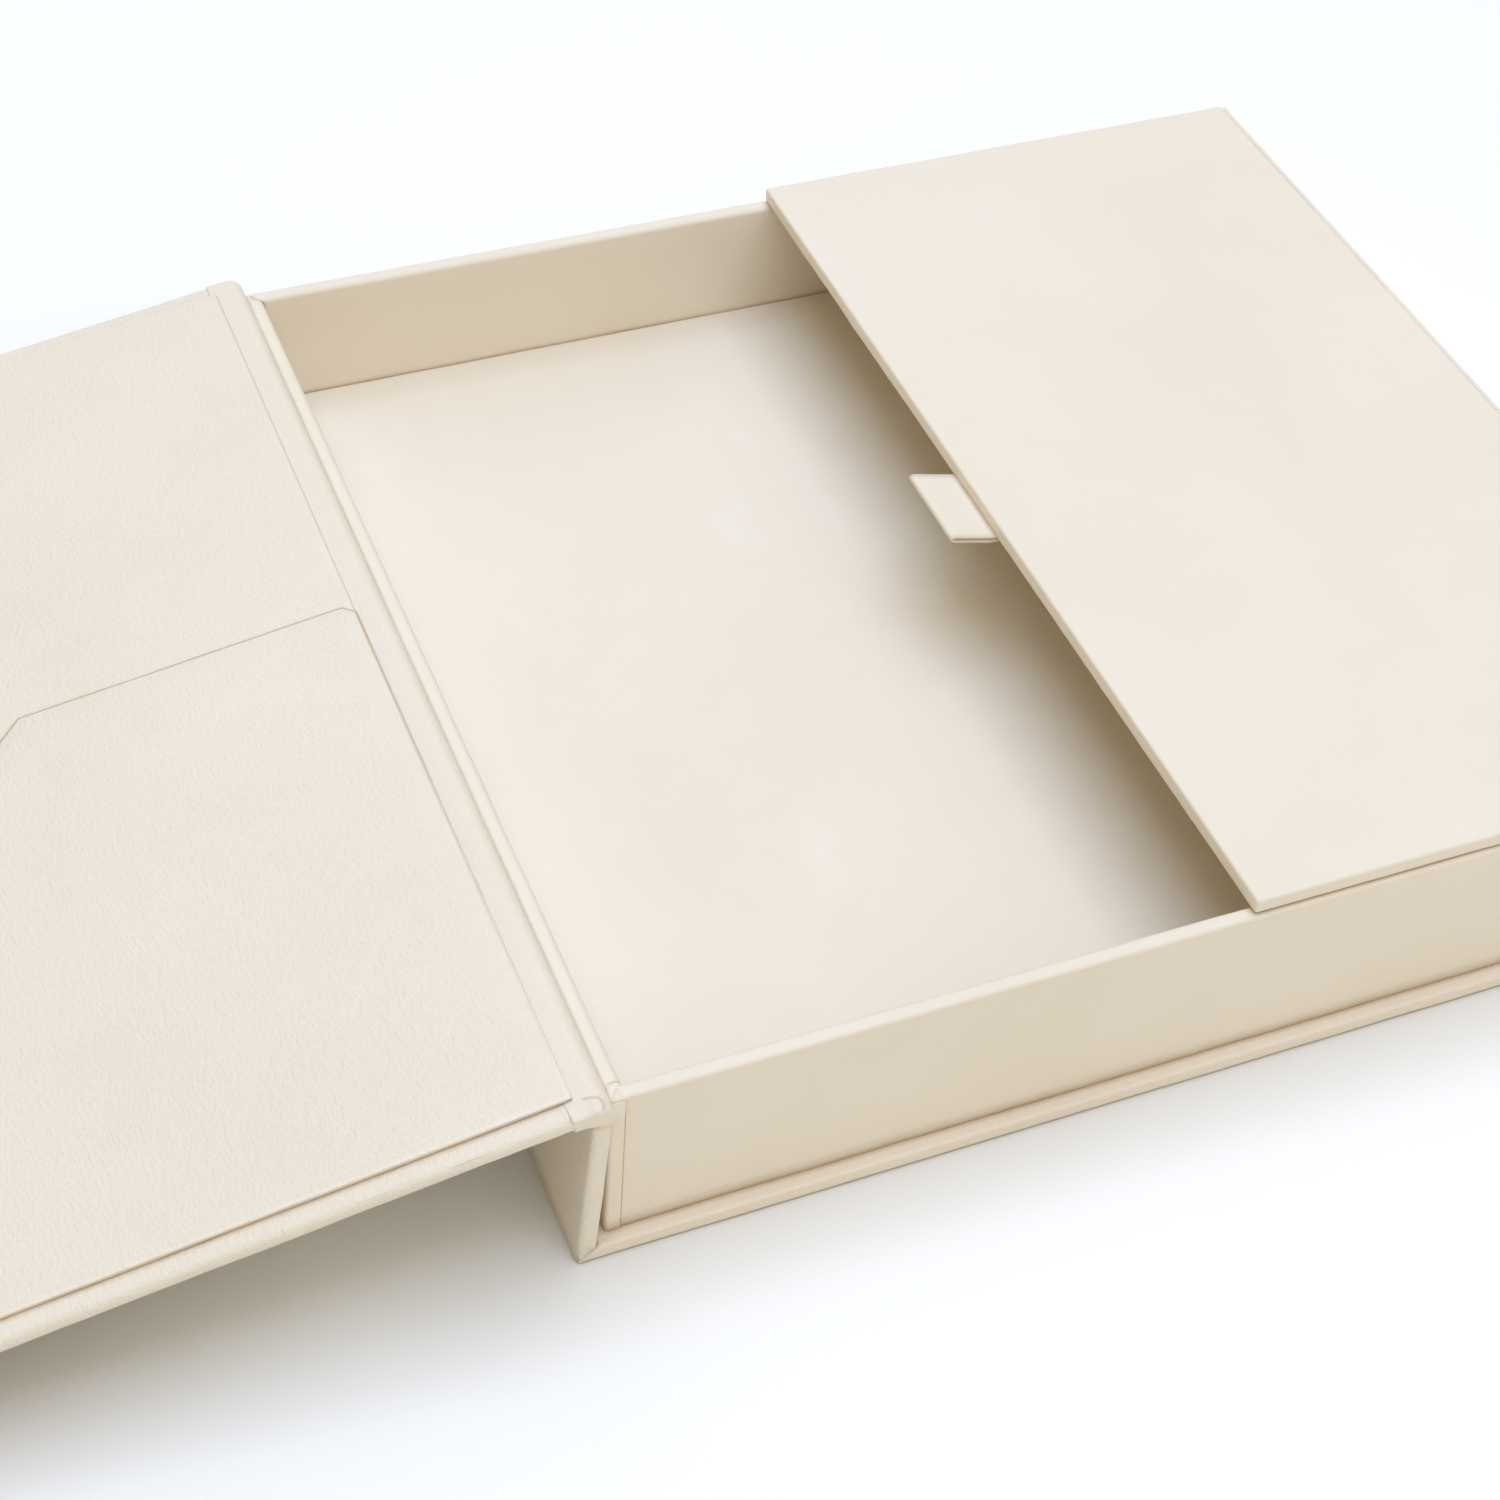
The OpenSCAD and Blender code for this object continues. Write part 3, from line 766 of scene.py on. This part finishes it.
def strip(outline, half_depth, end_r=0.0):
    """An outline pulled from the near end to the far one, with ends rounded by end_r."""
    bm = bmesh.new()
    plan = bm.faces.new([bm.verts.new((x, -half_depth, z)) for x, z in outline])
    pulled = bmesh.ops.extrude_face_region(bm, geom=[plan])["geom"]
    bmesh.ops.translate(bm, vec=(0, 2 * half_depth, 0), verts=new_verts(pulled))
    bmesh.ops.recalc_face_normals(bm, faces=bm.faces)
    bm.normal_update()
    if end_r:
        drop(bm, facing(bm, 1, 1) + facing(bm, 1, -1))
        turns = [math.sin(math.radians(a)) for a in (0, 25, 45, 65, 80)]
        cut_across(bm, 1, [side * (half_depth - end_r * (1 - turn))
                           for side in (-1, 1) for turn in turns])
        bm.normal_update()
        for v in bm.verts:
            depth = min((abs(v.co.y) - half_depth) / end_r + 1, 1.0)
            if depth > 0:
                v.co -= v.normal * end_r * roundness * (1 - math.sqrt(1 - depth * depth))
        bmesh.ops.holes_fill(bm, edges=[e for e in bm.edges if e.is_boundary], sides=0)
        bmesh.ops.recalc_face_normals(bm, faces=bm.faces)
    cut_across(bm, 1, steps(-half_depth, half_depth, 5.0, end_r + behind_edge))
    return bm


def curve(a, b, c, d, count):
    """Points on a curve from a to d that leaves towards b and arrives from c."""
    points = []
    for i in range(count + 1):
        t, s = i / count, 1 - i / count
        points.append(s**3 * a + 3 * s * s * t * b + 3 * s * t * t * c + t**3 * d)
    return points


def bulge(bm, centre, reach, push):
    """Pushes the skin round a point, most at the point and not at all at reach."""
    for v in bm.verts:
        near = 1 - (v.co - centre).length / reach
        if near > 0:
            v.co += push * near * near * (3 - 2 * near)


# %% The line of the hinge's cloth, from the spine over the cover's edge
foot = case_point(spine_place, spine_t + 0.03, spine_h - 0.5)
foot_pull, edge_pull = Vector((1.85, 3.1)), 3.8
edge = case_point(cover_place, -1.6, panel_t + cloth_proud)
along = Vector((math.cos(math.radians(tilt)), math.sin(math.radians(tilt))))
roll_line = curve(foot, foot + foot_pull, edge + edge_pull * along, edge, 16)
parting = next(k for k, point in enumerate(roll_line) if point.y > rim_z - 0.1)
print("the cloth's line parts at its point", parting, "of", len(roll_line))

# %% [markdown]
# ## The end of the cover
# The hinge's cloth wraps the end of the cover: 7 mm along the inner face, round
# the end in a soft crown and 7 mm back below. At the near side it ends in a
# tucked ear with an arched crease, drawn as a line of painted shade.

# %% Cloth round the cover's end
wrap = strip(
    roll_line[parting:] + [case_point(cover_place, -cloth_reach, panel_t + cloth_proud),
                           case_point(cover_place, -cloth_reach, -cloth_proud / 2),
                           case_point(cover_place, -0.3, -cloth_proud / 2)],
    case_d / 2 + cloth_proud, end_r=1.6,
)
cut_across(wrap, 0, [-1.5, 0.0] + [0.5 * k for k in range(2, 14)])
cut_across(wrap, 1, [147.0] + [-145.0 - 0.4 * k for k in range(12)])
cut_across(wrap, 2, [51, 52, 53])
soften(wrap, 0.05, 14.0, 71.0)

# %% Ear at the near end of the cloth
low_corner = case_point(cover_place, -1.6, 0.6)
bulge(wrap, Vector((low_corner.x, -case_d / 2, low_corner.y)), reach=3.6,
      push=Vector((0.2, -0.35, -0.75)))
ear = case_point(cover_place, -0.6, 4.0)
bulge(wrap, Vector((ear.x, 1.4 - case_d / 2, ear.y)), reach=3.4,
      push=Vector((0.1, -0.4, 0.45)))
fold_arc = [(2.0, -145.8), (2.9, -145.9), (4.1, -146.2), (5.0, -146.6), (5.35, -147.6),
            (5.3, -148.8), (4.9, -149.8)]
ear_shade = 0.5
# Painted shade: the arched crease on the ear is a darker line.
crease_and_shade = wrap.verts.layers.float.new("crease_and_shade")
for v in wrap.verts:
    if v.co.y < -144 and v.co.z > 51.5:
        v[crease_and_shade] = line_crease(v.co, fold_arc, ear_shade)
finish_piece(wrap, "cover_hinge_wrap", case_place, hinge_skin, "cover",
             ["cover_joint_inner"])

# %% [markdown]
# ## The roll between spine and cover
# Below the crown the cloth runs down to the spine's lining. When the cover
# closes, this part crumples on top of the spine, so it is squashed, not bent.

# %% Roll
roll = strip(
    roll_line[:parting + 2] + [case_point(cover_place, -0.8, 1.5),
                               case_point(cover_place, -0.8, 0.1),
                               case_point(spine_place, 0.8, spine_h + 0.1),
                               case_point(spine_place, 0.8, spine_h - 0.5)],
    case_d / 2 + cloth_proud / 2, end_r=1.2,
)
cut_across(roll, 2, [49, 50, 51])
soften(roll, 0.05, 14.0, 71.0)
roll_piece = finish_piece(roll, "cover_hinge_roll", case_place, hinge_skin, "spine",
                          ["cover_joint_inner"])
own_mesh(roll_piece)

# %% The fold under the cover
top = case_point(spine_place, 0, spine_h)
under = strip(
    [top + Vector((0.1, 0.05)), top + Vector((1.0, 0.0)),
     case_point(cover_place, -1.4, -0.05), case_point(cover_place, -3.2, -0.05)],
    case_d / 2 - edge_r,
)
cut_across(under, 2, [48.5 + 0.1 * k for k in range(1, 13)])
under_piece = finish_piece(under, "cover_hinge_fold", case_place, grained, None,
                           ["cover_joint_outer"])
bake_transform(under_piece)

# %% The fold at the spine's foot
fold = strip(
    [Vector((foot_reach, 0)), Vector((foot_reach, wrap_t)),
     case_point(spine_place, wrap_t, wrap_t), case_point(spine_place, wrap_t, foot_reach),
     case_point(spine_place, 0, foot_reach), case_point(spine_place, 0, 0.3),
     Vector((0.3, 0))],
    case_d / 2 - edge_r,
)
fold_piece = finish_piece(fold, "spine_foot_fold", case_place, grained, None,
                          ["spine_foot_joint"])
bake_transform(fold_piece)

# %% [markdown]
# ## The half lid
# A covered board lying on the rims, hinged by a strip of covering that is glued
# down the fore-edge wall.

# %% Lid covering
lid = covering((lid_x0, lid_x1), (-half_lid, half_lid), (lid_z0, lid_top), -1, step=3.0)
soften(lid, 0.14, 18.0, 81.0)
finish_piece(lid, "lid_covering", case_place, smooth, "lid", ["lid_wrap"], skin=wrap_t)

# %% Lid hinge strip
hinge = strip(
    [Vector((tray_x1, rim_z - 22)), Vector((tray_x1 + 0.6, rim_z - 22)),
     Vector((tray_x1 + 0.6, lid_top - edge_r)), Vector((tray_x1 + 0.3, lid_top - 0.5)),
     Vector((lid_x1, lid_top - edge_r + 0.4)), Vector((lid_x1, lid_z0 + edge_r)),
     Vector((tray_x1, lid_z0 + edge_r - 0.3))],
    half_lid - edge_r,
)
cut_across(hinge, 2, [34, 40, 46, 49, 50, 51, 52, 53])
hinge_piece = finish_piece(hinge, "lid_hinge_fold", case_place, smooth, None,
                           ["lid_hinge_strip"])
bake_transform(hinge_piece)

# %% [markdown]
# ## The pull tab
# A strip of covering folded back on itself: one end is glued under the lid, the
# loop sticks out and lifts a little, and its two layers gape at the near end.

# %% The tab's line, seen from the near side
tab_w, tab_out, tab_tail, tab_shift, tab_skin_t = 26.0, 13.0, 18.0, 2.0, 0.66
tab_lift = math.radians(15)
root = Vector((lid_x0 - 1, lid_z0 - 1.4))


def tab_point(out, up):
    """A point on the loop, measured outwards from the root and up from it."""
    return root + Vector((-out * math.cos(tab_lift) + up * math.sin(tab_lift),
                          out * math.sin(tab_lift) + up * math.cos(tab_lift)))


tail_x = lid_x0 - 1 + tab_tail
path = [Vector((tail_x, lid_z0 - 1.05)), Vector((lid_x0 + 6, lid_z0 - 1.05))]
path += [tab_point(out, 0.35) for out in (0.5, 3, 6, 9, 11.5)]
path += [tab_point(12.3, 0.45), tab_point(12.65, 0.95), tab_point(12.3, 1.45)]
path += [tab_point(out, 1.6) for out in (11.5, 9, 6, 3, 1.0)]
path += [Vector((lid_x0 + 3, lid_z0 - 0.35)), Vector((tail_x, lid_z0 - 0.35))]
print("the loop has", len(path), "points")

# %% Pull tab
tab = bmesh.new()
line = [tab.verts.new((p.x, tab_shift - tab_w / 2, p.y)) for p in path]
edges = [tab.edges.new(pair) for pair in zip(line, line[1:])]
wide = bmesh.ops.extrude_edge_only(tab, edges=edges)["geom"]
bmesh.ops.translate(tab, vec=(0, tab_w, 0), verts=new_verts(wide))
cut_across(tab, 1, [tab_shift + tab_w * k / 12 for k in range(-5, 6)])
bmesh.ops.recalc_face_normals(tab, faces=tab.faces[:])
tab_piece = finish_piece(tab, "lid_pull_tab", case_place, smooth, "lid", ["pull_tab"])
tab_skin = tab_piece.modifiers.new("Skin", "SOLIDIFY")
tab_skin.thickness, tab_skin.offset = tab_skin_t * 0.001, 0.0

# %% [markdown]
# ## The table, the light and the camera
# A white table under four large soft panels. The strongest hangs above, which
# leaves the near walls a little darker than the tops, as in the photograph. The
# sky is warm for diffuse light and white for the eye and for reflections.
# A shadow is painted on the table, for the eye only, where the box closes it in, and the
# table glows white far away.

# %% Table
bpy.ops.mesh.primitive_plane_add(size=8.0, location=(0, 0, -0.0002))
table = bpy.context.object
table.name = "table"
white = Finish("table_white")
shadow_reach, glow_from, glow_rise = 0.055, 0.75, 1.4
patch = white.noise(3.0, 2.0) * 0.02 + 0.92
seen = white.node("ShaderNodeLightPath", out=0)
# Painted shadow: the table is darkened for the eye where the box closes it in.
painted_shadow = (1 - white.openness(shadow_reach, samples=4)).math("POWER", 1.5)
brightness = (patch + seen * 0.12) * (1 - seen * painted_shadow * 0.6)
grey = white.node("ShaderNodeCombineColor", Red=brightness, Green=brightness,
                  Blue=brightness * 0.97)
diffuse = white.node("ShaderNodeBsdfDiffuse", Color=grey)
glow = white.node("ShaderNodeEmission", Color=(1, 1, 1, 1), Strength=1.0)
radius = white.node("ShaderNodeVectorMath", {"operation": "LENGTH"}, out=1,
                    Vector=white.place())
white.blend_shaders(white.limit((radius - glow_from) * glow_rise) * seen, diffuse, glow)
table.data.materials.append(white.material)
print("table:", table.name)

# %% Light
world = bpy.data.worlds.new("studio")
bpy.context.scene.world = world
sky = Finish("studio", world)
warm = sky.node("ShaderNodeBackground", Color=(1.0, 0.79, 0.46, 1), Strength=0.365)
pale = sky.node("ShaderNodeBackground", Color=(1, 1, 1, 1), Strength=1.0)
seen = sum(sky.node("ShaderNodeLightPath", out=f"Is {ray} Ray")
           for ray in ("Camera", "Glossy", "Transmission"))
sky.blend_shaders(sky.limit(seen), warm, pale)


def panel_light(name, place, watts, colour, size=1.6):
    """A square panel that shines at the box."""
    data = bpy.data.lights.new(name, "AREA")
    data.shape, data.size, data.energy, data.color = "SQUARE", size, watts, colour
    lamp = bpy.data.objects.new(name, data)
    lamp.location = place
    lamp.rotation_euler = (-Vector(place)).to_track_quat("-Z", "Y").to_euler()
    bpy.context.scene.collection.objects.link(lamp)


panel_light("panel_above", (0, 0, 1.8), 21.9, (0.55, 0.70, 1.0))
panel_light("panel_near", (0, -1.1, 1.4), 8.1, (0.95, 0.97, 1.0))
panel_light("panel_low", (-0.35, -1.3, 0.35), 1.8, (0.86, 0.93, 1.0))
panel_light("panel_far", (0, 1.1, 1.4), 8.6, (0.72, 0.84, 1.0))
print("lights:", len(bpy.data.lights))

# %% Camera
# The camera was fitted to the photograph's straight edges.
camera_data = bpy.data.cameras.new("camera")
camera = bpy.data.objects.new("camera", camera_data)
bpy.context.scene.collection.objects.link(camera)
right = Vector((0.92471352, -0.37551492, 0.06239749))
up = Vector((0.22827413, 0.67820023, 0.6985237))
turn = Matrix((right, up, right.cross(up))).transposed().to_4x4()
eye = (-0.2827957, -0.4702903, 0.5130452)
camera.matrix_world = Matrix.Translation(eye) @ turn
camera_data.sensor_width, camera_data.lens = 36.0, 66.3115
bpy.context.scene.camera = camera
bpy.context.scene.view_settings.view_transform = "Standard"
print("camera at", camera.location)
